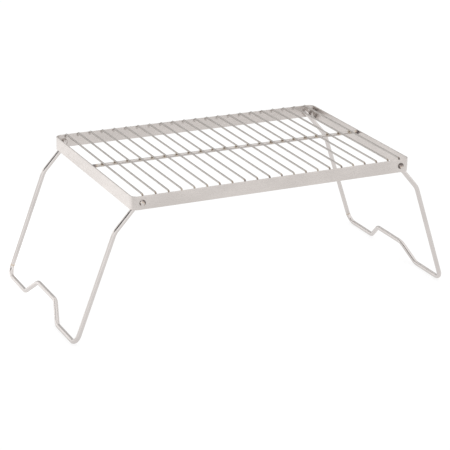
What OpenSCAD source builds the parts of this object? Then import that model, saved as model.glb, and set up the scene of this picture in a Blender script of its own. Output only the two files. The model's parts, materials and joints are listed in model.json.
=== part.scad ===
// Folding camp grill: a flat-bar frame with welded grid wires, a cross rod
// beneath them and two wire legs that swing inwards on pins in the frame.
// +X runs along the frame, +Z is up, and the origin is on the ground under
// the middle of the grill. Millimetres throughout. Both legs are drawn open.

/* [Grill top] */
// Outside length of the frame
top_length = 455; // [400:5:500]
// Outside width of the frame
top_width = 300; // [260:10:340]
// Height of the cooking surface above the ground
cooking_height = 220; // [200:5:240]

/* [Frame band] */
// Height of the flat bar
band_height = 20; // [18:1:24]
// Thickness of the flat bar
band_thickness = 2; // [1.5:0.5:3]
// Outside radius of the four corner bends
band_corner_radius = 10; // [6:1:16]

/* [Grid] */
// Number of grid wires
wire_count = 22; // [18:1:26]
// Diameter of a grid wire
wire_diameter = 2.8; // [2.4:0.1:3.4]
// Distance from the end of the frame to the first grid wire
wire_end_gap = 17.5; // [12:0.5:20]
// Centreline radius of the bend at each end of a grid wire
wire_bend_radius = 3; // [2.5:0.5:3.5]
// How far a bent wire end reaches below the top edge of the band
wire_tang_depth = 4.5; // [4:0.5:5]
// Diameter of the cross rod
rod_diameter = 5; // [4:0.5:6]

/* [Legs] */
// Diameter of the leg wire
leg_diameter = 7; // [5:0.5:7]
// Distance from the end of the frame to a leg's pivot axis
pivot_inset = 16; // [15:1:20]
// Distance from the outside of the frame to the middle of a leg's side wire
leg_inset = 10; // [9.5:0.5:14]
// Length from the pivot axis to the kink
upper_length = 57; // [50:1:64]
// Lean of the lower leg away from upright, in degrees
leg_lean = 20; // [10:1:26]
// Centreline radius of the kink
kink_radius = 26; // [16:1:34]
// Centreline radius of the corner between side wire and foot
foot_corner_radius = 15; // [11:1:19]

/* [Foot arch] */
// Rise of the arch above the feet, measured along the leg
arch_rise = 27; // [20:1:34]
// Half width of the arch at its top corners
arch_top_half = 36; // [30:1:44]
// Half width of the arch at the feet
arch_base_half = 67; // [60:1:80]
// Centreline radius of the arch's four bends
arch_bend_radius = 15; // [9:1:17]

/* [Pivots] */
// Radial clearance of a leg's pin in the band
pin_clearance = 0.08; // [0.04:0.01:0.1]
// Diameter of the peened head on each pin
head_diameter = 10; // [9:0.5:11]
// Height of the peened head
head_height = 2.4; // [1.8:0.1:3]

/* [Hidden] */
$fn = 64;

STEEL = "#D3CCC7";
BRIGHT_STEEL = "#DAD5D1";
WIRE_STEEL = "#BFBAB5";

// How deep a resistance weld sinks one piece into the next
weld_sink = 0.2;
// Bending draws the wire out: a bend is this much thinner than the straight wire
bend_thinning = 0.04;
// How far a bend reaches into the straight wire on either side of it
bend_lap = 0.3;
// Gap kept between a leg and the frame wherever they pass or rest
leg_gap = 0.3;

// Frame band
half_length = top_length / 2;
half_width = top_width / 2;
band_top = cooking_height - wire_diameter;
band_bottom = band_top - band_height;
band_middle = (band_top + band_bottom) / 2;
inner_half_length = half_length - band_thickness;
inner_half_width = half_width - band_thickness;

// Grid wires lie level with the top edge of the band, their ends bent down inside it
wire_z = band_top + wire_diameter / 2;
wire_y = inner_half_width + weld_sink - wire_diameter / 2;
wire_pitch = (top_length - 2 * wire_end_gap) / (wire_count - 1);

// The cross rod is welded to the underside of every grid wire and to both ends of the band
rod_z = wire_z - (wire_diameter + rod_diameter) / 2 + weld_sink;
// The weld bead at each end of the rod is a little thicker than the rod and sits lower
bead_radius = rod_diameter / 2 + 0.6;
bead_drop = 0.8;

// Pivots are on the middle line of the band
pivot_x = half_length - pivot_inset;
pivot_z = band_middle;
hole_radius = leg_diameter / 2 + pin_clearance;

// The open leg rests under the inner bottom edge of the end of the band:
// the slope of the upper leg is the one that leaves the gap there
stop_dx = inner_half_length - pivot_x;
stop_dz = pivot_z - band_bottom;
stop_reach = norm([stop_dx, stop_dz]);
stop_slope = atan2(stop_dz, stop_dx) + asin((leg_diameter / 2 + leg_gap) / stop_reach);

// Corner points of a leg in its own plane, before bending
leg_y = half_width - leg_inset;
kink_x = pivot_x + upper_length * cos(stop_slope);
kink_z = pivot_z - upper_length * sin(stop_slope);
foot_z = leg_diameter / 2;
foot_x = kink_x + (kink_z - foot_z) * tan(leg_lean);
arch_x = foot_x - arch_rise * sin(leg_lean);
arch_z = foot_z + arch_rise * cos(leg_lean);

// The pin runs straight through the band, and the knuckle bend starts just inside it
knuckle_margin = 0.5;
knuckle_radius = inner_half_width - knuckle_margin - leg_y;
head_y = half_width + leg_gap;
head_sphere_radius = (pow(head_diameter / 2, 2) + pow(head_height, 2)) / (2 * head_height);

WIRE_NAMES = [for (i = [1:wire_count]) str("grid_wire_", i < 10 ? "0" : "", i)];

function unit(v) = v / norm(v);
function turn_angle(u, v) = acos(u * v);
function setback(u, v, radius) = radius * tan(turn_angle(u, v) / 2);
function wire_x(i) = -half_length + wire_end_gap + (i - 1) * wire_pitch;

// A matrix whose columns are the directions a, b and c, with its origin at p
function placement(a, b, c, p) = [
    [a.x, b.x, c.x, p.x],
    [a.y, b.y, c.y, p.y],
    [a.z, b.z, c.z, p.z],
    [0, 0, 0, 1]
];

// Straight round bar from p to q
module straight(p, q, diameter) {
    along = unit(q - p);
    across = unit(cross(along, abs(along.y) > 0.9 ? [1, 0, 0] : [0, 1, 0]));
    multmatrix(placement(across, cross(along, across), along, p))
        cylinder(h = norm(q - p), d = diameter);
}

// Bend at corner p, from direction u to direction v
module bend(p, u, v, radius, diameter) {
    inward = unit(v - (u * v) * u);
    centre = p - u * setback(u, v, radius) + inward * radius;
    lap_angle = bend_lap / radius * 180 / PI;
    multmatrix(placement(-inward, u, cross(-inward, u), centre))
        rotate([0, 0, -lap_angle])
            rotate_extrude(angle = turn_angle(u, v) + 2 * lap_angle)
                translate([radius, 0])
                    circle(d = diameter - bend_thinning);
}

// Wire bent at each inner point of a path; radii holds one bend radius per point, 0 at the ends
module bent_wire(points, radii, diameter) {
    last = len(points) - 1;
    directions = [for (i = [0:last - 1]) unit(points[i + 1] - points[i])];
    inner = [for (i = [1:last - 1]) setback(directions[i - 1], directions[i], radii[i])];
    setbacks = concat([0], inner, [0]);
    for (i = [0:last - 1])
        straight(
            points[i] + directions[i] * setbacks[i],
            points[i + 1] - directions[i] * setbacks[i + 1],
            diameter
        );
    for (i = [1:last - 1])
        bend(points[i], directions[i - 1], directions[i], radii[i], diameter);
}

// Straight stretches of the band, as blocks: sides along X and ends along Y
module band_sides() {
    straight_length = top_length - 2 * band_corner_radius;
    for (side = [-1, 1])
        translate([0, side * (half_width - band_thickness / 2), band_middle])
            cube([straight_length, band_thickness, band_height], center = true);
}

module band_ends() {
    straight_width = top_width - 2 * band_corner_radius;
    for (side = [-1, 1])
        translate([side * (half_length - band_thickness / 2), 0, band_middle])
            cube([band_thickness, straight_width, band_height], center = true);
}

module band_corner() {
    translate([half_length - band_corner_radius, half_width - band_corner_radius, band_bottom])
        rotate_extrude(angle = 90)
            translate([band_corner_radius - band_thickness, 0])
                square([band_thickness, band_height]);
}

// Flat bar bent into a rounded rectangle, with a hole for each of the four leg pins
module frame_band() {
    color(STEEL)
    difference() {
        union() {
            band_sides();
            band_ends();
            for (sx = [0, 1], sy = [0, 1])
                mirror([sx, 0, 0])
                    mirror([0, sy, 0])
                        band_corner();
        }
        for (sx = [-1, 1], sy = [-1, 1])
            translate([sx * pivot_x, sy * (half_width - band_thickness / 2), pivot_z])
                rotate([90, 0, 0])
                    cylinder(h = 2 * band_thickness, r = hole_radius, center = true);
    }
}

// One grid wire: both ends bent down and welded flat against the inside of the band
module grid_wire(i) {
    x = wire_x(i);
    tang_z = band_top - wire_tang_depth;
    color(WIRE_STEEL)
    difference() {
        bent_wire(
            [[x, -wire_y, tang_z], [x, -wire_y, wire_z], [x, wire_y, wire_z], [x, wire_y, tang_z]],
            [0, wire_bend_radius, wire_bend_radius, 0],
            wire_diameter
        );
        band_sides();
    }
}

// Rod along X, notched by the grid wires' welds, with a weld bead at each end
module cross_rod() {
    color(BRIGHT_STEEL)
    difference() {
        intersection() {
            union() {
                rotate([0, 90, 0])
                    translate([-rod_z, 0, 0])
                        cylinder(h = top_length, d = rod_diameter, center = true);
                for (side = [-1, 1])
                    translate([side * inner_half_length, 0, rod_z - bead_drop])
                        sphere(r = bead_radius);
            }
            translate([0, 0, rod_z])
                cube([2 * inner_half_length, 2 * band_height, 2 * band_height], center = true);
        }
        for (i = [1:wire_count])
            translate([wire_x(i), 0, wire_z])
                rotate([90, 0, 0])
                    cylinder(h = 2 * rod_diameter, d = wire_diameter, center = true);
    }
}

// Peened dome on the outer end of a pin, base at the origin and growing along +Z
module pin_head() {
    intersection() {
        translate([0, 0, head_height - head_sphere_radius])
            sphere(r = head_sphere_radius);
        cylinder(h = head_height, d = head_diameter);
    }
}

// Right-hand leg: one wire bent from pin to pin, with a peened head outside each hole
module leg() {
    half_path = [
        [pivot_x, head_y, pivot_z],
        [pivot_x, leg_y, pivot_z],
        [kink_x, leg_y, kink_z],
        [foot_x, leg_y, foot_z],
        [foot_x, arch_base_half, foot_z],
        [arch_x, arch_top_half, arch_z]
    ];
    half_radii = [
        0,
        knuckle_radius,
        kink_radius,
        foot_corner_radius,
        arch_bend_radius,
        arch_bend_radius
    ];
    last = len(half_path) - 1;
    far_path = [for (i = [last:-1:0]) [half_path[i].x, -half_path[i].y, half_path[i].z]];
    far_radii = [for (i = [last:-1:0]) half_radii[i]];
    bent_wire(concat(half_path, far_path), concat(half_radii, far_radii), leg_diameter);
    for (side = [-1, 1])
        translate([pivot_x, side * head_y, pivot_z])
            rotate([-90 * side, 0, 0])
                pin_head();
}

module right_leg() {
    color(BRIGHT_STEEL)
        leg();
}

module left_leg() {
    color(BRIGHT_STEEL)
        rotate([0, 0, 180])
            leg();
}

frame_band();
for (i = [1:wire_count])
    grid_wire(i);
cross_rod();
left_leg();
right_leg();
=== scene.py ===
"""Looks of the folding camp grill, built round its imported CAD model. Metres throughout."""
import json
import math
import random

import bmesh
import bpy
import numpy as np
from mathutils import Matrix, Vector, noise


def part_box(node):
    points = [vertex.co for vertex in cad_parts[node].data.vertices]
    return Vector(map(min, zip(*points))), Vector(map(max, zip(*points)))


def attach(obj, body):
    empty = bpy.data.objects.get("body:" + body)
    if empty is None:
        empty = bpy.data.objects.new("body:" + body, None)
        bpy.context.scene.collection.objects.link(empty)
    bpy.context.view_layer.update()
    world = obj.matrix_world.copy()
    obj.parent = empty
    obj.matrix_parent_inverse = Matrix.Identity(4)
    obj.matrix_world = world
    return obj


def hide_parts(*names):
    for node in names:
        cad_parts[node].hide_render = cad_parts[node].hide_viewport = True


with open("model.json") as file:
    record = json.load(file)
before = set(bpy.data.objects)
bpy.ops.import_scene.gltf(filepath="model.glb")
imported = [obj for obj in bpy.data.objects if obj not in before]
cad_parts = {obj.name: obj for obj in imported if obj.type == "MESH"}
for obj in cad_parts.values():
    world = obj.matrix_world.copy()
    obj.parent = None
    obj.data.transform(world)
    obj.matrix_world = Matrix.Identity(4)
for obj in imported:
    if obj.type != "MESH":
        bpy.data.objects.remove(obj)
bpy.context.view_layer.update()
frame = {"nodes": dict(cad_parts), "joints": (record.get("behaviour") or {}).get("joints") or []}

# ---------------------------------------------------------------- sizes

# Driving dimensions of the CAD model that its boxes don't give
BAND_THICKNESS = 0.002
BAND_CORNER_RADIUS = 0.010
HOLE_RADIUS = 0.00358
WIRE_BEND_RADIUS = 0.003
WELD_SINK = 0.0002
ROD_RADIUS = 0.0025
LEG_RADIUS = 0.0035
LEG_INSET = 0.010
LEG_GAP = 0.0003
UPPER_LENGTH = 0.057
LEG_LEAN = math.radians(20)
KNUCKLE_MARGIN = 0.0005
KINK_RADIUS = 0.026
FOOT_CORNER_RADIUS = 0.015
ARCH_RISE = 0.027
ARCH_TOP_HALF = 0.036
ARCH_BASE_HALF = 0.067
ARCH_BEND_RADIUS = 0.015

# Frame band, from its box
BAND_LOW, BAND_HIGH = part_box("frame_band")
HALF_LENGTH = BAND_HIGH.x
HALF_WIDTH = BAND_HIGH.y
BAND_TOP = BAND_HIGH.z
BAND_BOTTOM = BAND_LOW.z
INNER_HALF_LENGTH = HALF_LENGTH - BAND_THICKNESS
INNER_HALF_WIDTH = HALF_WIDTH - BAND_THICKNESS

# Grid wires and the cross rod beneath them, from the wires' boxes
WIRE_NAMES = sorted(name for name in frame["nodes"] if name.startswith("grid_wire_"))
WIRE_BOXES = {name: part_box(name) for name in WIRE_NAMES}
WIRE_X = {name: (low.x + high.x) / 2 for name, (low, high) in WIRE_BOXES.items()}
FIRST_WIRE_X = WIRE_X[WIRE_NAMES[0]]
WIRE_PITCH = WIRE_X[WIRE_NAMES[1]] - FIRST_WIRE_X
WIRE_LOW, WIRE_HIGH = WIRE_BOXES[WIRE_NAMES[0]]
WIRE_RADIUS = (WIRE_HIGH.x - WIRE_LOW.x) / 2
WIRE_Z = WIRE_HIGH.z - WIRE_RADIUS
WIRE_Y = INNER_HALF_WIDTH + WELD_SINK - WIRE_RADIUS
TANG_Z = WIRE_LOW.z
ROD_Z = WIRE_Z - WIRE_RADIUS - ROD_RADIUS + WELD_SINK

# Legs, from the right leg's pivot and box
PIVOT = Vector(next(j["pos_m"] for j in frame["joints"] if j["child"] == "right_leg"))
LEG_LOW, LEG_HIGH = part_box("right_leg")
HEAD_RADIUS = PIVOT.x - LEG_LOW.x
HEAD_Y = HALF_WIDTH + LEG_GAP
HEAD_HEIGHT = LEG_HIGH.y - HEAD_Y
LEG_Y = HALF_WIDTH - LEG_INSET
KNUCKLE_RADIUS = INNER_HALF_WIDTH - KNUCKLE_MARGIN - LEG_Y
STOP_X = INNER_HALF_LENGTH - PIVOT.x
STOP_Z = PIVOT.z - BAND_BOTTOM
STOP_REACH = math.hypot(STOP_X, STOP_Z)
STOP_SLOPE = math.atan2(STOP_Z, STOP_X) + math.asin((LEG_RADIUS + LEG_GAP) / STOP_REACH)
KINK_X = PIVOT.x + UPPER_LENGTH * math.cos(STOP_SLOPE)
KINK_Z = PIVOT.z - UPPER_LENGTH * math.sin(STOP_SLOPE)
FOOT_Z = LEG_RADIUS
FOOT_X = KINK_X + (KINK_Z - FOOT_Z) * math.tan(LEG_LEAN)
ARCH_X = FOOT_X - ARCH_RISE * math.sin(LEG_LEAN)
ARCH_Z = FOOT_Z + ARCH_RISE * math.cos(LEG_LEAN)

# Small shapes that only the looks need
EDGE_RADIUS = 0.00045
HOLE_CHAMFER = 0.00025
TANG_CHAMFER = 0.0003
HEAD_RIM = 0.0003
HEAD_DENT = 0.0002
DIE_MARK_DEPTH = 0.00022
DIE_MARK_LENGTH = 0.0014

# Half sizes of the beads of weld metal along X, Y and Z. The drops are below the band's top edge
# and below the rod's middle, and the swells are pairs of how fine a bead's lumps are and how large.
TANG_BEAD = (0.0019, 0.0006, 0.0017)
TANG_BEAD_DROP = 0.0028
TANG_BEAD_SCATTER = 0.0002
CROSSING_BEAD = (0.0017, 0.0019, 0.0006)
ROD_END_BEAD = (0.0019, 0.0034, 0.0031)
ROD_END_BEAD_DROP = 0.0008
BEAD_SWELLS = ((1.1, 0.22), (3.1, 0.10))

# How finely each bar is divided: along it, round its bends, and round its section
BAND_STEP = 0.006
BAND_BEND_STEP = math.radians(6)
EDGE_STEPS = 4
HOLE_SIDES = 48
WIRE_STEP = 0.002
WIRE_BEND_STEP = math.radians(9)
WIRE_SIDES = 24
ROD_STEP = 0.0015
ROD_SIDES = 32
LEG_STEP = 0.003
LEG_BEND_STEP = math.radians(5)
LEG_SIDES = 36
HEAD_RIM_RINGS = 6
HEAD_DOME_RINGS = 12

# Lumps of noise to the metre: dents and finer dents on the heads, and patches of heat colour and of
# the heads' painted edge shade
DENT_FINENESS = 700
FINE_DENT_FINENESS = 1500
HEAT_PATCH_FINENESS = 260

# Heat colours: how strong they are, with 1 for the middle of a weld, and how far they reach.
# The front welds' colour is heat colour and painted shade of the dark front wire ends; the welds
# along the back get none. Pairs are the least and the most.
FRONT_WELD_HEAT_AND_SHADE = 0.9
BACK_WELD_HEAT = 0.0
TANG_HEAT_SHARES = (0.3, 0.9)
TANG_HEAT_START = 0.0045
TANG_HEAT_REACH = 0.004
TANG_BEAD_SHARE = 0.3
CROSSING_HEATS = (0.15, 0.5)
CROSSING_HEAT_REACH = 0.005
CROSSING_BEAD_HEAT = 0.35
ROD_CROSSING_HEAT = 0.4
ROD_END_HEAT_REACH = 0.008
ROD_END_BEAD_HEAT = 0.7
# The heads' dark edges are heat colour and painted shade of the gap under each rim
HEAD_EDGE_HEAT_AND_SHADE = 1.3
HEAD_EDGE_HEAT_AND_SHADE_REACH = 0.0024
HEAD_HEAT = 0.3
DIE_MARK_HEAT = 0.5

# Wear on the legs: how strong it is on the bends, and how far it reaches
BEND_RUB = 0.45
BEND_RUB_REACH = 0.004
GROUND_RUB_REACH = 0.0016
STOP_RUB_REACH = 0.008

# How far apart the wires' grain patterns lie, for each metre between the wires
GRAIN_SHIFT = 50

UP = np.array([0.0, 0.0, 1.0])
RANDOM = random.Random(7)


# ---------------------------------------------------------------- paths and meshes

def unit(vector):
    return vector / np.linalg.norm(vector)


def near(distance, reach):
    """1 at no distance, falling smoothly to nearly 0 at the given reach."""
    return np.exp(-(distance / reach) ** 2 * 3)


class Path:
    """Stations along a polyline whose corners are bent to the given radii.

    places and directions hold each station's place and heading, bends 1 on a bend and 0 elsewhere,
    and along the distance from the first station.
    """

    def __init__(self, corners, radii, spacing, bend_step, closed=False):
        self.places, self.directions, self.bends = [], [], []
        corners = [np.array(corner, float) for corner in corners]
        count = len(corners)
        runs = count if closed else count - 1
        along = [unit(corners[(i + 1) % count] - corners[i]) for i in range(runs)]
        setbacks = [0.0] * count
        for i in range(0 if closed else 1, runs):
            turn = math.acos(np.clip(along[i - 1] @ along[i], -1, 1))
            setbacks[i] = radii[i] * math.tan(turn / 2)
        for i in range(runs):
            following = (i + 1) % count
            start = corners[i] + along[i] * setbacks[i]
            end = corners[following] - along[i] * setbacks[following]
            self._straight(start, end, along[i], spacing)
            if closed or i < runs - 1:
                self._bend(end, along[i], along[following], radii[following], bend_step)
        self.places = np.array(self.places)
        self.directions = np.array(self.directions)
        self.bends = np.array(self.bends)
        steps = np.linalg.norm(np.diff(self.places, axis=0), axis=1)
        self.along = np.concatenate([[0.0], np.cumsum(steps)])

    def _add(self, place, direction, bend):
        self.places.append(place)
        self.directions.append(direction)
        self.bends.append(bend)

    def _straight(self, start, end, direction, spacing):
        steps = max(1, round(np.linalg.norm(end - start) / spacing))
        for k in range(steps + 1):
            self._add(start + (end - start) * k / steps, direction, 0.0)

    def _bend(self, start, before, after, radius, step):
        turn = math.acos(np.clip(before @ after, -1, 1))
        inward = unit(after - before * (before @ after))
        centre = start + inward * radius
        steps = max(2, math.ceil(turn / step))
        for k in range(1, steps):
            angle = turn * k / steps
            place = centre + radius * (before * math.sin(angle) - inward * math.cos(angle))
            self._add(place, before * math.cos(angle) + inward * math.sin(angle), 1.0)


def softened(values, along, reach):
    """values smoothed along a path with a bell curve of that reach."""
    weights = np.exp(-((along[:, None] - along[None, :]) / reach) ** 2)
    return weights @ values / weights.sum(1)


def tube(path, radii, first_normal, sides):
    """Vertices, faces and grain coordinates of a round bar along a path, closed at both ends."""
    angles = np.arange(sides) * math.tau / sides
    cosines, sines = np.cos(angles), np.sin(angles)
    normal = np.array(first_normal, float)
    vertices, grain = [], []
    for place, direction, distance, radius in zip(path.places, path.directions, path.along, radii):
        normal = unit(normal - direction * (normal @ direction))
        across = np.cross(direction, normal)
        vertices.append(place + radius * (np.outer(cosines, normal) + np.outer(sines, across)))
        grain.append(np.column_stack([radius * cosines, radius * sines, np.full(sides, distance)]))
    rings = len(vertices)
    faces = ring_faces(rings, sides)
    faces.append(list(range(sides))[::-1])
    faces.append(list(range((rings - 1) * sides, rings * sides)))
    return np.concatenate(vertices), faces, np.concatenate(grain)


def ring_faces(rings, sides, closed=False):
    """Quads between rings of points, each ring with the given number of sides."""
    faces = []
    for i in range(rings if closed else rings - 1):
        here, there = i * sides, (i + 1) % rings * sides
        for j in range(sides):
            k = (j + 1) % sides
            faces.append([here + j, here + k, there + k, there + j])
    return faces


def set_values(mesh, name, values):
    """Stores one number, or one vector, for each vertex."""
    kind, key = ("FLOAT_VECTOR", "vector") if values.ndim == 2 else ("FLOAT", "value")
    stored = mesh.attributes.new(name, kind, "POINT")
    stored.data.foreach_set(key, values.astype(np.float32).ravel())


def piece(name, vertices, faces, material, sharp_angle=40, **values):
    """A smooth-shaded mesh object with its material and its values for each vertex."""
    mesh = bpy.data.meshes.new(name)
    mesh.from_pydata([tuple(vertex) for vertex in vertices], [], faces)
    for key, numbers in values.items():
        set_values(mesh, key, numbers)
    return finished(name, mesh, material, sharp_angle)


def finished(name, mesh, material, sharp_angle=40):
    """An object in the scene, smooth except at edges sharper than sharp_angle in degrees."""
    mesh.validate()
    mesh.shade_smooth()
    mesh.set_sharp_from_angle(angle=math.radians(sharp_angle))
    mesh.materials.append(material)
    made = bpy.data.objects.new(name, mesh)
    bpy.context.scene.collection.objects.link(made)
    return made


# ---------------------------------------------------------------- materials

def add(tree, kind, inputs=None, **settings):
    """A shader node with its settings, and its inputs set or linked."""
    made = tree.nodes.new(kind)
    for key, value in settings.items():
        setattr(made, key, value)
    for key, value in (inputs or {}).items():
        if isinstance(value, bpy.types.NodeSocket):
            tree.links.new(value, made.inputs[key])
        else:
            made.inputs[key].default_value = value
    return made


def math_node(tree, operation, *values):
    return add(tree, "ShaderNodeMath", dict(enumerate(values)), operation=operation).outputs[0]


def attribute(tree, name, output="Fac"):
    return add(tree, "ShaderNodeAttribute", attribute_name=name).outputs[output]


def noise_of(tree, place, sizes, detail=3.0, rough=0.55, shift=0.0):
    """Noise from about 0 to 1 whose lumps have the given sizes along the three coordinates."""
    scaled = add(
        tree,
        "ShaderNodeMapping",
        {"Vector": place, "Scale": [1 / size for size in sizes], "Location": (shift, shift, shift)},
    )
    return add(
        tree,
        "ShaderNodeTexNoise",
        {"Vector": scaled.outputs[0], "Scale": 1.0, "Detail": detail, "Roughness": rough},
    ).outputs[0]


def between(tree, value, low, high, to_low=0.0, to_high=1.0):
    """value taken smoothly from the range low to high into the range to_low to to_high."""
    return add(
        tree,
        "ShaderNodeMapRange",
        {"Value": value, "From Min": low, "From Max": high, "To Min": to_low, "To Max": to_high},
        interpolation_type="SMOOTHSTEP",
    ).outputs[0]


def blend(tree, share, low, high, kind="MIX"):
    mixed = add(tree, "ShaderNodeMix", {"Factor": share}, data_type="RGBA", blend_type=kind)
    for key, value in ((6, low), (7, high)):
        if isinstance(value, bpy.types.NodeSocket):
            tree.links.new(value, mixed.inputs[key])
        else:
            mixed.inputs[key].default_value = (*value, 1.0)
    return mixed.outputs[2]


def ramp(tree, value, stops):
    """Colours along a value, given as (position, colour) pairs from position 0 to position 1."""
    made = add(tree, "ShaderNodeValToRGB", {"Fac": value})
    elements = made.color_ramp.elements
    elements[0].color = (*stops[0][1], 1.0)
    elements[1].color = (*stops[-1][1], 1.0)
    for position, colour in stops[1:-1]:
        elements.new(position).color = (*colour, 1.0)
    return made.outputs[0]


# Colours of heated stainless steel, from bare metal to the middle of a weld, also used for painted
# shade
HEAT_AND_SHADE_STOPS = (
    (0.00, (1.00, 1.00, 1.00)),
    (0.25, (0.93, 0.86, 0.75)),
    (0.45, (0.70, 0.61, 0.54)),
    (0.65, (0.46, 0.42, 0.43)),
    (0.85, (0.30, 0.28, 0.28)),
    (1.00, (0.20, 0.18, 0.17)),
)

# Sizes of the lumps in each pattern on the steel, the third one along its grain, and how many
# times larger than the fine lines the bold ones are
PATCH_SIZES = (0.03, 0.03, 0.05)
HANDLING_SIZES = (0.006, 0.006, 0.009)
SCRATCH_SIZES = (0.0045, 0.0045, 0.00022)
BOLD_STREAK = 4

# How much darker and lighter than its own colour the clean metal gets, and a scratch on it
DARK_METAL = 0.95
LIGHT_METAL = 1.03
SCRATCHED_METAL = 1.2


def shade(colour, factor):
    return [min(1.0, channel * factor) for channel in colour]


def steel(name, colour, gloss, streak, scratches, bump):
    """Bare drawn or rolled stainless steel. Its lines follow the third grain coordinate.

    colour is the clean metal's, gloss its lowest and highest roughness, streak the sizes of one
    drawn line, scratches how far they show, and bump the depth of the lines.
    """
    material = bpy.data.materials.new(name)
    material.use_nodes = True
    tree = material.node_tree
    tree.nodes.clear()
    grain = attribute(tree, "grain", "Vector")
    # This attribute holds heat colour, and painted shade at the front wire ends and round the
    # heads' edges
    heat = attribute(tree, "scorch_and_shade")
    rub = attribute(tree, "rub")

    lines = noise_of(tree, grain, streak, detail=4.0, rough=0.65)
    bold_streak = [size * BOLD_STREAK for size in streak]
    bold_lines = noise_of(tree, grain, bold_streak, detail=2.0, shift=3.1)
    patches = noise_of(tree, grain, PATCH_SIZES, detail=3.0, shift=7.7)
    handling = noise_of(tree, grain, HANDLING_SIZES, detail=5.0, rough=0.6, shift=11.3)

    # Short scratches that run across the lines, only where the metal has been handled
    scored = noise_of(tree, grain, SCRATCH_SIZES, detail=2.0, rough=0.5, shift=17.9)
    scored = between(tree, scored, 0.66, 0.74)
    handled = between(tree, handling, 0.48, 0.66)
    worn = math_node(tree, "MAXIMUM", handled, rub)
    scratch = math_node(tree, "MULTIPLY", scored, worn)
    scratch = math_node(tree, "MULTIPLY", scratch, scratches)

    # Heat colours and painted shade spread unevenly round where they lie
    uneven = between(tree, handling, 0.25, 0.75, -0.22, 0.22)
    edge_of_heat = between(tree, heat, 0.0, 0.25)
    spread = math_node(tree, "MULTIPLY", uneven, edge_of_heat)
    heated = math_node(tree, "ADD", heat, spread)
    tint = ramp(tree, heated, HEAT_AND_SHADE_STOPS)

    # Colour: darker and lighter patches and lines, scratches over them, and the heat's tint with
    # its painted shade
    tone = math_node(tree, "MULTIPLY", lines, 0.4)
    tone = math_node(tree, "MULTIPLY_ADD", patches, 0.6, tone)
    tone = between(tree, tone, 0.36, 0.64)
    metal = blend(tree, tone, shade(colour, DARK_METAL), shade(colour, LIGHT_METAL))
    metal = blend(tree, scratch, metal, shade(colour, SCRATCHED_METAL))
    metal = blend(tree, 1.0, metal, tint, "MULTIPLY")

    # Roughness: the drawn lines, and duller where it is handled, heated or rubbed
    rough = between(tree, bold_lines, 0.3, 0.7, *gloss)
    rough = math_node(tree, "ADD", rough, between(tree, handling, 0.4, 0.7, 0.0, 0.07))
    rough = math_node(tree, "ADD", rough, between(tree, heated, 0.2, 0.9, 0.0, 0.16))
    rough = math_node(tree, "MULTIPLY_ADD", rub, 0.1, rough)

    # Relief: the drawn lines, the scratches cut into them, and scale on heated metal
    scale = math_node(tree, "MULTIPLY", handling, heat)
    height = math_node(tree, "MULTIPLY", lines, 0.5)
    height = math_node(tree, "MULTIPLY_ADD", bold_lines, 0.5, height)
    height = math_node(tree, "MULTIPLY_ADD", scratch, -0.8, height)
    height = math_node(tree, "MULTIPLY_ADD", scale, 3.0, height)
    relief = add(tree, "ShaderNodeBump", {"Height": height, "Strength": 0.6, "Distance": bump})

    shader = add(
        tree,
        "ShaderNodeBsdfPrincipled",
        {"Base Color": metal, "Metallic": 1.0, "Roughness": rough, "Normal": relief.outputs[0]},
    )
    add(tree, "ShaderNodeOutputMaterial", {"Surface": shader.outputs[0]})
    return material


BAND_STEEL = steel(
    "rolled_steel",
    colour=(0.60, 0.56, 0.535),
    gloss=(0.24, 0.34),
    streak=(0.00016, 0.00016, 0.02),
    scratches=0.35,
    bump=0.000013,
)
WIRE_STEEL = steel(
    "drawn_wire_steel",
    colour=(0.465, 0.435, 0.412),
    gloss=(0.24, 0.34),
    streak=(0.0002, 0.0002, 0.012),
    scratches=0.4,
    bump=0.00001,
)
ROD_STEEL = steel(
    "bright_rod_steel",
    colour=(0.52, 0.49, 0.47),
    gloss=(0.18, 0.28),
    streak=(0.0003, 0.0003, 0.02),
    scratches=0.4,
    bump=0.00002,
)
LEG_STEEL = steel(
    "bright_leg_steel",
    colour=(0.62, 0.583, 0.564),
    gloss=(0.14, 0.22),
    streak=(0.0003, 0.0003, 0.02),
    scratches=0.6,
    bump=0.00002,
)


# ---------------------------------------------------------------- frame band

def band_section():
    """Offset from the bar's middle, and height, of each point of its section, anticlockwise."""
    half_thickness = BAND_THICKNESS / 2
    flat_half_height = (BAND_TOP - BAND_BOTTOM) / 2 - EDGE_RADIUS
    middle = (BAND_TOP + BAND_BOTTOM) / 2
    points = []
    for quarter, (sx, sz) in enumerate(((1, -1), (1, 1), (-1, 1), (-1, -1))):
        centre_x = sx * (half_thickness - EDGE_RADIUS)
        centre_z = middle + sz * flat_half_height
        for k in range(EDGE_STEPS + 1):
            angle = math.pi / 2 * (quarter - 1 + k / EDGE_STEPS)
            x = centre_x + EDGE_RADIUS * math.cos(angle)
            z = centre_z + EDGE_RADIUS * math.sin(angle)
            points.append((x, z))
        if sx == sz:
            continue
        # Points along each tall face, which keep its shading flat
        for share in (0.02, 0.25, 0.5, 0.75, 0.98):
            z = middle + sz * flat_half_height * (1 - 2 * share)
            points.append((sx * half_thickness, z))
    return points


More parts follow.
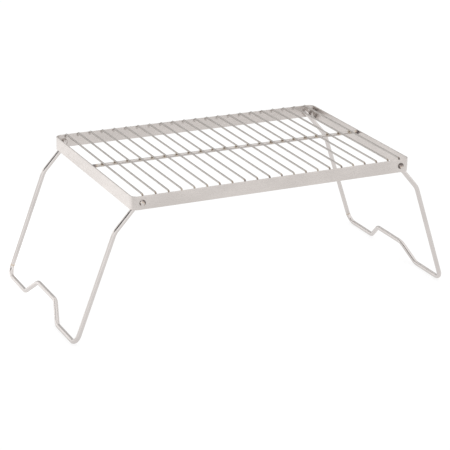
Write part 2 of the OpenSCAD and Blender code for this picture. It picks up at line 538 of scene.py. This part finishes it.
def hole_cutter():
    """A pin hole along Y, centred on the origin, with a chamfer at both faces of the bar."""
    half = BAND_THICKNESS / 2
    rings = (
        (-half - HOLE_CHAMFER, HOLE_RADIUS + 2 * HOLE_CHAMFER),
        (-half + HOLE_CHAMFER, HOLE_RADIUS),
        (half - HOLE_CHAMFER, HOLE_RADIUS),
        (half + HOLE_CHAMFER, HOLE_RADIUS + 2 * HOLE_CHAMFER),
    )
    angles = np.arange(HOLE_SIDES) * math.tau / HOLE_SIDES
    vertices = [(r * math.cos(a), y, r * math.sin(a)) for y, r in rings for a in angles]
    faces = [face[::-1] for face in ring_faces(len(rings), HOLE_SIDES)]
    last_ring = (len(rings) - 1) * HOLE_SIDES
    faces.append(list(range(HOLE_SIDES)))
    faces.append(list(range(last_ring, last_ring + HOLE_SIDES))[::-1])
    return vertices, faces


def around_band(x, y):
    """How far round the band from the middle of its back a point lies, and how far outwards."""
    side = HALF_LENGTH - BAND_CORNER_RADIUS
    end = HALF_WIDTH - BAND_CORNER_RADIUS
    bend = BAND_CORNER_RADIUS * math.pi / 2
    right, back = abs(x), abs(y)
    if right <= side:
        distance, offset = right, back - HALF_WIDTH
    elif back <= end:
        distance, offset = side + bend + end - back, right - HALF_LENGTH
    else:
        distance = side + BAND_CORNER_RADIUS * math.atan2(right - side, back - end)
        offset = math.hypot(right - side, back - end) - BAND_CORNER_RADIUS
    half_way = side + bend + end
    if y < 0:
        distance = 2 * half_way - distance
    return math.copysign(distance, x), offset


def scrap_object(name, vertices, faces):
    """A plain object that is used up while another one is made."""
    mesh = bpy.data.meshes.new(name)
    mesh.from_pydata([tuple(vertex) for vertex in vertices], [], faces)
    made = bpy.data.objects.new(name, mesh)
    bpy.context.scene.collection.objects.link(made)
    return made


def bare_band():
    """The flat bar, swept round its rounded rectangle."""
    length = HALF_LENGTH - BAND_THICKNESS / 2
    width = HALF_WIDTH - BAND_THICKNESS / 2
    corners = [(length, width, 0), (length, -width, 0), (-length, -width, 0), (-length, width, 0)]
    radii = [BAND_CORNER_RADIUS - BAND_THICKNESS / 2] * len(corners)
    path = Path(corners, radii, BAND_STEP, BAND_BEND_STEP, closed=True)
    section = band_section()
    vertices = []
    for place, direction in zip(path.places, path.directions):
        outward = np.cross(UP, direction)
        vertices += [place + outward * offset + UP * height for offset, height in section]
    faces = ring_faces(len(path.places), len(section), closed=True)
    return scrap_object("bare_band", vertices, faces)


def hole_cutters():
    """The four pin holes."""
    one_vertices, one_faces = hole_cutter()
    vertices, faces = [], []
    for sx in (-1, 1):
        for sy in (-1, 1):
            first = len(vertices)
            centre = Vector((sx * PIVOT.x, sy * (HALF_WIDTH - BAND_THICKNESS / 2), PIVOT.z))
            vertices += [centre + Vector(vertex) for vertex in one_vertices]
            faces += [[first + corner for corner in face] for face in one_faces]
    return scrap_object("hole_cutters", vertices, faces)


def frame_band():
    """The flat bar, drilled for the four pins, with its long edges rubbed."""
    bare = bare_band()
    cutter = hole_cutters()
    drill = bare.modifiers.new("pin_holes", "BOOLEAN")
    drill.operation = "DIFFERENCE"
    drill.solver = "EXACT"
    drill.object = cutter
    evaluated = bare.evaluated_get(bpy.context.evaluated_depsgraph_get())
    drilled = bpy.data.meshes.new_from_object(evaluated)
    for scrap in (bare, cutter):
        bpy.data.objects.remove(scrap)

    grain, rub = [], []
    for vertex in drilled.vertices:
        distance, offset = around_band(vertex.co.x, vertex.co.y)
        grain.append((offset, vertex.co.z, distance))
        from_edge = min(BAND_TOP - vertex.co.z, vertex.co.z - BAND_BOTTOM)
        rub.append(max(0.0, 1 - from_edge / (2 * EDGE_RADIUS)))
    set_values(drilled, "grain", np.array(grain))
    set_values(drilled, "rub", np.array(rub))
    set_values(drilled, "scorch_and_shade", np.zeros(len(grain)))
    made = finished("band", drilled, BAND_STEEL, sharp_angle=35)
    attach(made, "frame")
    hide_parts("frame_band")


# ---------------------------------------------------------------- grid

def wire_heat_and_shade(path, vertices, from_end):
    """Heat colours of a grid wire, at both its ends and where it crosses the rod.

    They are strongest on the side that faces the band, and on the side that faces the rod. At the
    front ends the colour is also painted shade of the dark wire ends.
    """
    outward = np.cross((1, 0, 0), path.directions)
    from_middle = vertices.reshape(-1, WIRE_SIDES, 3) - path.places[:, None]
    outside = (from_middle @ outward[:, :, None]).ravel() / WIRE_RADIUS
    # The front ends get painted shade along with their heat colour, the back ends neither
    strength = np.where(vertices[:, 1] < 0, FRONT_WELD_HEAT_AND_SHADE, BACK_WELD_HEAT)
    strength = strength * RANDOM.uniform(*TANG_HEAT_SHARES)
    at_tang = near(np.maximum(0, from_end - TANG_HEAT_START), TANG_HEAT_REACH)
    at_tang *= np.clip(0.5 + 0.7 * outside, 0.05, 1) * strength
    underneath = (WIRE_Z - vertices[:, 2]) / WIRE_RADIUS
    at_rod = near(np.abs(vertices[:, 1]), CROSSING_HEAT_REACH)
    at_rod *= np.clip(0.6 + 0.5 * underneath, 0, 1)
    return np.maximum(at_tang, at_rod * RANDOM.uniform(*CROSSING_HEATS))


def grid_wire(name):
    """One grid wire, its bent-down ends pressed flat against the inside of the band."""
    x = WIRE_X[name]
    half = [(x, -WIRE_Y, TANG_Z), (x, -WIRE_Y, WIRE_Z)]
    corners = half + [(x, -y, z) for x, y, z in reversed(half)]
    radii = [0, WIRE_BEND_RADIUS, WIRE_BEND_RADIUS, 0]
    path = Path(corners, radii, WIRE_STEP, WIRE_BEND_STEP)
    from_end = np.minimum(path.along, path.along[-1] - path.along)
    radii = WIRE_RADIUS - np.maximum(0, TANG_CHAMFER - from_end)
    vertices, faces, grain = tube(path, radii, (1, 0, 0), WIRE_SIDES)
    pressed = vertices[:, 2] < BAND_TOP
    limit = INNER_HALF_WIDTH + WELD_SINK / 4
    vertices[pressed, 1] = np.clip(vertices[pressed, 1], -limit, limit)
    heat = wire_heat_and_shade(path, vertices, np.repeat(from_end, WIRE_SIDES))
    made = piece(
        name.replace("grid_", "bent_"),
        vertices,
        faces,
        WIRE_STEEL,
        grain=grain + (0, 0, x * GRAIN_SHIFT),
        scorch_and_shade=heat,
        rub=np.zeros(len(vertices)),
    )
    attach(made, "frame")
    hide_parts(name)


def cross_rod():
    """The round rod under the wires, from end to end of the band."""
    corners = [(-INNER_HALF_LENGTH, 0, ROD_Z), (INNER_HALF_LENGTH, 0, ROD_Z)]
    path = Path(corners, [0, 0], ROD_STEP, WIRE_BEND_STEP)
    radii = np.full(len(path.places), ROD_RADIUS)
    vertices, faces, grain = tube(path, radii, (0, 0, 1), ROD_SIDES)
    along = vertices[:, 0]
    to_wire = np.abs((along - FIRST_WIRE_X + WIRE_PITCH / 2) % WIRE_PITCH - WIRE_PITCH / 2)
    upwards = (vertices[:, 2] - ROD_Z) / ROD_RADIUS
    at_wires = near(to_wire, CROSSING_HEAT_REACH) * np.clip(0.5 + 0.6 * upwards, 0, 1)
    at_ends = near(INNER_HALF_LENGTH - np.abs(along), ROD_END_HEAT_REACH)
    heat = np.maximum(at_wires * ROD_CROSSING_HEAT, at_ends)
    made = piece(
        "round_rod",
        vertices,
        faces,
        ROD_STEEL,
        grain=grain,
        scorch_and_shade=heat,
        rub=np.zeros(len(vertices)),
    )
    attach(made, "frame")
    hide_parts("cross_rod")


# ---------------------------------------------------------------- welds

class Lumps:
    """Beads of melted metal, gathered into one mesh."""

    def __init__(self):
        self.shape = bmesh.new()

    def add(self, centre, half_sizes, limits=()):
        """A lumpy bead. limits are (axis, bound) pairs: a negative bound is the least value that
        its points may have along that axis, and a positive one the most.
        """
        made = bmesh.ops.create_icosphere(self.shape, subdivisions=3, radius=1.0)["verts"]
        centre, sizes = Vector(centre), Vector(half_sizes)
        start = Vector([RANDOM.uniform(0, 50) for _ in range(3)])
        for vertex in made:
            swell = 1.0
            for fineness, share in BEAD_SWELLS:
                swell += share * noise.noise(vertex.co * fineness + start)
            vertex.co = centre + vertex.co * sizes * swell
        for axis, bound in limits:
            for vertex in made:
                if bound < 0:
                    vertex.co[axis] = max(bound, vertex.co[axis])
                else:
                    vertex.co[axis] = min(bound, vertex.co[axis])

    def piece(self, name, slot_name, material, heat):
        """Makes all the beads one piece on the frame, evenly coloured by that heat."""
        mesh = bpy.data.meshes.new(name)
        self.shape.to_mesh(mesh)
        self.shape.free()
        places = np.array([vertex.co for vertex in mesh.vertices])
        set_values(mesh, "grain", places)
        set_values(mesh, "scorch_and_shade", np.full(len(places), heat))
        set_values(mesh, "rub", np.zeros(len(places)))
        made = finished(name, mesh, material, sharp_angle=60)
        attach(made, "frame")


def tang_welds():
    """Flash squeezed out on both sides of each wire end where it is welded to the band."""
    for side, name, strength in ((-1, "front", FRONT_WELD_HEAT_AND_SHADE), (1, "back", BACK_WELD_HEAT)):
        lumps = Lumps()
        face = side * (INNER_HALF_WIDTH + WELD_SINK)
        for x in WIRE_X.values():
            height = BAND_TOP - TANG_BEAD_DROP
            height += RANDOM.uniform(-TANG_BEAD_SCATTER, TANG_BEAD_SCATTER)
            lumps.add((x, side * INNER_HALF_WIDTH, height), TANG_BEAD, [(1, face)])
        # At the front the beads' colour is heat colour and painted shade
        heat = strength * TANG_BEAD_SHARE
        lumps.piece(name + "_tang_welds", "band_steel", BAND_STEEL, heat)


def crossing_welds():
    """The flattened nugget between each wire and the rod."""
    lumps = Lumps()
    for x in WIRE_X.values():
        lumps.add((x, 0, WIRE_Z - WIRE_RADIUS + WELD_SINK / 2), CROSSING_BEAD)
    lumps.piece("crossing_welds", "wire_steel", WIRE_STEEL, CROSSING_BEAD_HEAT)


def rod_end_welds():
    """The bead that joins each end of the rod to the band."""
    lumps = Lumps()
    for side in (-1, 1):
        face = side * (INNER_HALF_LENGTH + WELD_SINK)
        centre = (side * INNER_HALF_LENGTH, 0, ROD_Z - ROD_END_BEAD_DROP)
        lumps.add(centre, ROD_END_BEAD, [(0, face)])
    lumps.piece("rod_end_welds", "rod_steel", ROD_STEEL, ROD_END_BEAD_HEAT)


# ---------------------------------------------------------------- legs

def head_profile():
    """Height and radius of each ring of a peened head, from the pin to just short of its top."""
    ball = (HEAD_RADIUS ** 2 + HEAD_HEIGHT ** 2) / (2 * HEAD_HEIGHT)
    ball_height = HEAD_HEIGHT - ball
    rim_radius = math.sqrt((ball - HEAD_RIM) ** 2 - (HEAD_RIM - ball_height) ** 2)
    rim_angle = math.atan2(rim_radius, HEAD_RIM - ball_height)
    rings = [(0, LEG_RADIUS * 1.02), (0, (LEG_RADIUS + rim_radius) / 2), (0, rim_radius)]
    for k in range(1, HEAD_RIM_RINGS + 1):
        angle = math.pi + (rim_angle - math.pi) * k / HEAD_RIM_RINGS
        height = HEAD_RIM + HEAD_RIM * math.cos(angle)
        rings.append((height, rim_radius + HEAD_RIM * math.sin(angle)))
    # The last ring is a small one, which the bar's end face closes
    for k in range(1, HEAD_DOME_RINGS + 1):
        angle = rim_angle * (1 - k / (HEAD_DOME_RINGS + 0.4))
        rings.append((ball_height + ball * math.cos(angle), ball * math.sin(angle)))
    return rings


def leg_path():
    """The right-hand leg's wire, from the pin at the front to the pin at the back."""
    half = [
        (PIVOT.x, -HEAD_Y, PIVOT.z),
        (PIVOT.x, -LEG_Y, PIVOT.z),
        (KINK_X, -LEG_Y, KINK_Z),
        (FOOT_X, -LEG_Y, FOOT_Z),
        (FOOT_X, -ARCH_BASE_HALF, FOOT_Z),
        (ARCH_X, -ARCH_TOP_HALF, ARCH_Z),
    ]
    radii = [0, KNUCKLE_RADIUS, KINK_RADIUS, FOOT_CORNER_RADIUS, ARCH_BEND_RADIUS, ARCH_BEND_RADIUS]
    corners = half + [(x, -y, z) for x, y, z in reversed(half)]
    return Path(corners, radii + radii[::-1], LEG_STEP, LEG_BEND_STEP)


def with_heads(path):
    """Adds the two peened heads' rings to a leg's path, and returns every ring's radius."""
    heights, head_radii = np.array(head_profile()).T
    rings = len(heights)
    radii = np.full(len(path.places), LEG_RADIUS)
    start, end = path.places[0], path.places[-1]
    before, after = path.directions[0], path.directions[-1]
    path.places = np.concatenate([
        start - np.outer(heights[::-1], before),
        path.places,
        end + np.outer(heights, after),
    ])
    path.directions = np.concatenate([
        np.tile(before, (rings, 1)),
        path.directions,
        np.tile(after, (rings, 1)),
    ])
    path.bends = np.concatenate([np.zeros(rings), path.bends, np.zeros(rings)])
    rises = np.diff(heights, prepend=0)
    spreads = np.diff(head_radii, prepend=LEG_RADIUS)
    across = np.cumsum(np.hypot(rises, spreads))
    path.along = np.concatenate([-across[::-1], path.along, path.along[-1] + across])
    return np.concatenate([head_radii[::-1], radii, head_radii])


def die_mark(path, side):
    """Where along a leg the bending die nipped it: on its foot corner at that side, -1 or 1."""
    into_bend = np.flatnonzero(
        (np.diff(path.bends) * -side > 0)
        & (path.places[1:, 1] * side > LEG_Y * 0.98)
        & (path.places[1:, 2] < KINK_Z / 2)
    )
    return path.along[into_bend[0]]


def hammered(vertices):
    """The leg's vertices with its heads' domes left a little uneven by the hammer."""
    vertices = vertices.copy()
    out = np.abs(vertices[:, 1]) - HEAD_Y
    for i in np.flatnonzero(out > HEAD_HEIGHT * 0.25):
        vertex = Vector(vertices[i])
        dent = noise.noise(vertex * DENT_FINENESS)
        dent += 0.5 * noise.noise(vertex * FINE_DENT_FINENESS)
        vertices[i, 1] -= math.copysign(HEAD_DENT * max(0.0, dent), vertices[i, 1])
    return vertices


def leg_rub(path, vertices):
    """Wear on a leg: on its bends, where it stands on the ground and where it meets its stop."""
    turned = np.repeat(softened(path.bends, path.along, BEND_RUB_REACH), LEG_SIDES)
    on_ground = near(np.maximum(0, vertices[:, 2]), GROUND_RUB_REACH)
    from_stop = np.hypot(vertices[:, 0] - INNER_HALF_LENGTH, vertices[:, 2] - BAND_BOTTOM)
    return np.clip(turned * BEND_RUB + on_ground + near(from_stop, STOP_RUB_REACH), 0, 1)


def leg_heat_and_shade(path, vertices, mark):
    """Heat colours of a leg: patches on its heads, darkest at their edges, where they are also
    painted shade of the gap under each rim, and the die's mark.
    """
    out = np.abs(vertices[:, 1]) - HEAD_Y
    from_axis = np.hypot(vertices[:, 0] - PIVOT.x, vertices[:, 2] - PIVOT.z)
    # Painted shade of the gap under each head's rim, mixed with its heat colour
    head_edge_heat_and_shade = near(np.maximum(0, HEAD_RADIUS * 0.9 - from_axis), HEAD_EDGE_HEAT_AND_SHADE_REACH)
    head_edge_heat_and_shade *= out > -LEG_GAP
    patchy = np.array([noise.noise(Vector(vertex) * HEAT_PATCH_FINENESS) for vertex in vertices])
    heat = head_edge_heat_and_shade * (HEAD_EDGE_HEAT_AND_SHADE + 2.5 * patchy)
    heat += (out > 0) * (HEAD_HEAT + 0.9 * patchy)
    marked = np.repeat(near(np.abs(path.along - mark), DIE_MARK_LENGTH), LEG_SIDES)
    return np.clip(heat + marked * DIE_MARK_HEAT, 0, 1)


def leg(node, half_turn):
    """A bent wire leg. The die's mark is on the back foot corner of both legs."""
    path = leg_path()
    radii = with_heads(path)
    mark = die_mark(path, -1 if half_turn else 1)
    radii = radii - DIE_MARK_DEPTH * near(np.abs(path.along - mark), DIE_MARK_LENGTH)
    vertices, faces, grain = tube(path, radii, (0, 0, 1), LEG_SIDES)
    vertices = hammered(vertices)
    rub = leg_rub(path, vertices)
    heat = leg_heat_and_shade(path, vertices, mark)
    if half_turn:
        vertices = vertices * (-1, -1, 1)
    made = piece(
        node.replace("leg", "bent_leg"),
        vertices,
        faces,
        LEG_STEEL,
        grain=grain,
        scorch_and_shade=heat,
        rub=rub,
    )
    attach(made, node)
    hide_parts(node)


# ---------------------------------------------------------------- studio

FLOOR_HALF = 12.0
FLOOR_SQUARES = 24
FLOOR_COLOUR = (0.22, 0.22, 0.22, 1.0)
FLOOR_GLOW = 0.80
POOL_PLACE = (-0.76, 0.38, 0.0)
POOL_GLOW = 0.36
POOL_RADIUS = 0.42
POOL_FADE = 0.22

# The tent's light low down and overhead, what its front and its panel add, and how much of it
# the gap low at the back and the one above the left wall take away
TENT_LIGHT = (1.05, 1.15)
FRONT_LIGHT = 0.30
PANEL_AIM = (-0.43, 0.83, 0.36)
PANEL_LIGHT = 0.25
LOW_GAP_AIM = (0.17, 0.95, 0.25)
LOW_GAP_DEPTH = 0.40
HIGH_GAP_DEPTH = 0.92

KEY_PLACE = (-1.5, 1.1, 0.9)
KEY_TARGET = (-0.5, 0.4, 0.0)
KEY_SIZE = 1.0
KEY_POWER = 3

CAMERA_PLACE = (-1.0573, -2.0529, 0.9791)
CAMERA_LENS = 127.78
CAMERA_SENSOR = 36
CAMERA_YAW = math.radians(27.136)
CAMERA_PITCH = math.radians(21.068)
CAMERA_ROLL = math.radians(1.712)


def floor_material():
    """A white light table, which glows more where the frame's left end mirrors it."""
    material = bpy.data.materials.new("studio_floor")
    material.use_nodes = True
    tree = material.node_tree
    shader = tree.nodes["Principled BSDF"]
    place = add(tree, "ShaderNodeTexCoord").outputs["Object"]
    aside = add(tree, "ShaderNodeVectorMath", {0: place, 1: POOL_PLACE}, operation="DISTANCE")
    glow = between(
        tree,
        aside.outputs["Value"],
        POOL_RADIUS,
        POOL_RADIUS + POOL_FADE,
        FLOOR_GLOW + POOL_GLOW,
        FLOOR_GLOW,
    )
    tree.links.new(glow, shader.inputs["Emission Strength"])
    shader.inputs["Emission Color"].default_value = (1.0, 1.0, 1.0, 1.0)
    shader.inputs["Base Color"].default_value = FLOOR_COLOUR
    shader.inputs["Roughness"].default_value = 0.9
    shader.inputs["Specular IOR Level"].default_value = 0.0
    return material


def floor():
    """A large flat sheet at the height of the feet."""
    row = FLOOR_SQUARES + 1
    line = np.linspace(-FLOOR_HALF, FLOOR_HALF, row)
    vertices = [(x, y, 0.0) for y in line for x in line]
    faces = []
    for i in range(FLOOR_SQUARES):
        for j in range(FLOOR_SQUARES):
            first = i * row + j
            faces.append([first, first + 1, first + row + 1, first + row])
    mesh = bpy.data.meshes.new("floor")
    mesh.from_pydata(vertices, [], faces)
    finished("floor", mesh, floor_material())


def towards(tree, direction, aim, low, high):
    """0 to 1 as the cosine between a direction and aim goes from low to high."""
    aim = Vector(aim).normalized()
    cosine = add(tree, "ShaderNodeVectorMath", {0: direction, 1: aim}, operation="DOT_PRODUCT")
    return between(tree, cosine.outputs["Value"], low, high)


def surroundings():
    """A white tent, brighter in front, with a dim gap low at the back and a dark one high at the
    left.
    """
    world = bpy.data.worlds.new("tent")
    bpy.context.scene.world = world
    world.use_nodes = True
    tree = world.node_tree
    tree.nodes.clear()
    direction = add(tree, "ShaderNodeTexCoord").outputs["Generated"]
    height = add(tree, "ShaderNodeSeparateXYZ", {0: direction}).outputs[2]
    light = between(tree, height, -0.1, 1.0, *TENT_LIGHT)
    front = towards(tree, direction, (0, -1, 0), 0.0, 0.7)
    panel = towards(tree, direction, PANEL_AIM, 0.90, 0.98)
    light = math_node(tree, "MULTIPLY_ADD", front, FRONT_LIGHT, light)
    light = math_node(tree, "MULTIPLY_ADD", panel, PANEL_LIGHT, light)

    low_gap = towards(tree, direction, LOW_GAP_AIM, 0.84, 0.94)
    above_wall = between(tree, height, 0.38, 0.48)
    below_ceiling = between(tree, height, 0.80, 0.68)
    leftwards = towards(tree, direction, (-1, 0, 0), 0.25, 0.45)
    high_gap = math_node(tree, "MULTIPLY", below_ceiling, leftwards)
    high_gap = math_node(tree, "MULTIPLY", above_wall, high_gap)
    for gap, depth in ((low_gap, LOW_GAP_DEPTH), (high_gap, HIGH_GAP_DEPTH)):
        kept = math_node(tree, "MULTIPLY_ADD", gap, -depth, 1.0)
        light = math_node(tree, "MULTIPLY", light, kept)
    background = add(tree, "ShaderNodeBackground", {"Color": light, "Strength": 1.0})
    add(tree, "ShaderNodeOutputWorld", {"Surface": background.outputs[0]})


def key_light():
    """A faint square lamp behind the left end."""
    lamp = bpy.data.lights.new("key", "AREA")
    lamp.shape = "SQUARE"
    lamp.size = KEY_SIZE
    lamp.energy = KEY_POWER
    made = bpy.data.objects.new("key", lamp)
    bpy.context.scene.collection.objects.link(made)
    made.location = KEY_PLACE
    aim = Vector(KEY_TARGET) - Vector(KEY_PLACE)
    made.rotation_euler = aim.to_track_quat("-Z", "Y").to_euler()


def camera():
    """The camera, turned and tilted down towards the grill, with a small roll."""
    forward = Vector((
        math.sin(CAMERA_YAW) * math.cos(CAMERA_PITCH),
        math.cos(CAMERA_YAW) * math.cos(CAMERA_PITCH),
        -math.sin(CAMERA_PITCH),
    ))
    level = Vector((math.cos(CAMERA_YAW), -math.sin(CAMERA_YAW), 0))
    above = level.cross(forward)
    right = level * math.cos(CAMERA_ROLL) + above * math.sin(CAMERA_ROLL)
    top = above * math.cos(CAMERA_ROLL) - level * math.sin(CAMERA_ROLL)
    data = bpy.data.cameras.new("camera")
    data.lens = CAMERA_LENS
    data.sensor_width = CAMERA_SENSOR
    data.clip_start, data.clip_end = 0.05, 100
    made = bpy.data.objects.new("camera", data)
    bpy.context.scene.collection.objects.link(made)
    turn = Matrix((right, top, -forward)).transposed()
    made.matrix_world = Matrix.Translation(CAMERA_PLACE) @ turn.to_4x4()
    bpy.context.scene.camera = made


# ---------------------------------------------------------------- the whole grill

frame_band()
for wire_name in WIRE_NAMES:
    grid_wire(wire_name)
cross_rod()
tang_welds()
crossing_welds()
rod_end_welds()
leg("right_leg", half_turn=False)
leg("left_leg", half_turn=True)
floor()
surroundings()
key_light()
camera()
bpy.context.scene.view_settings.view_transform = "Standard"
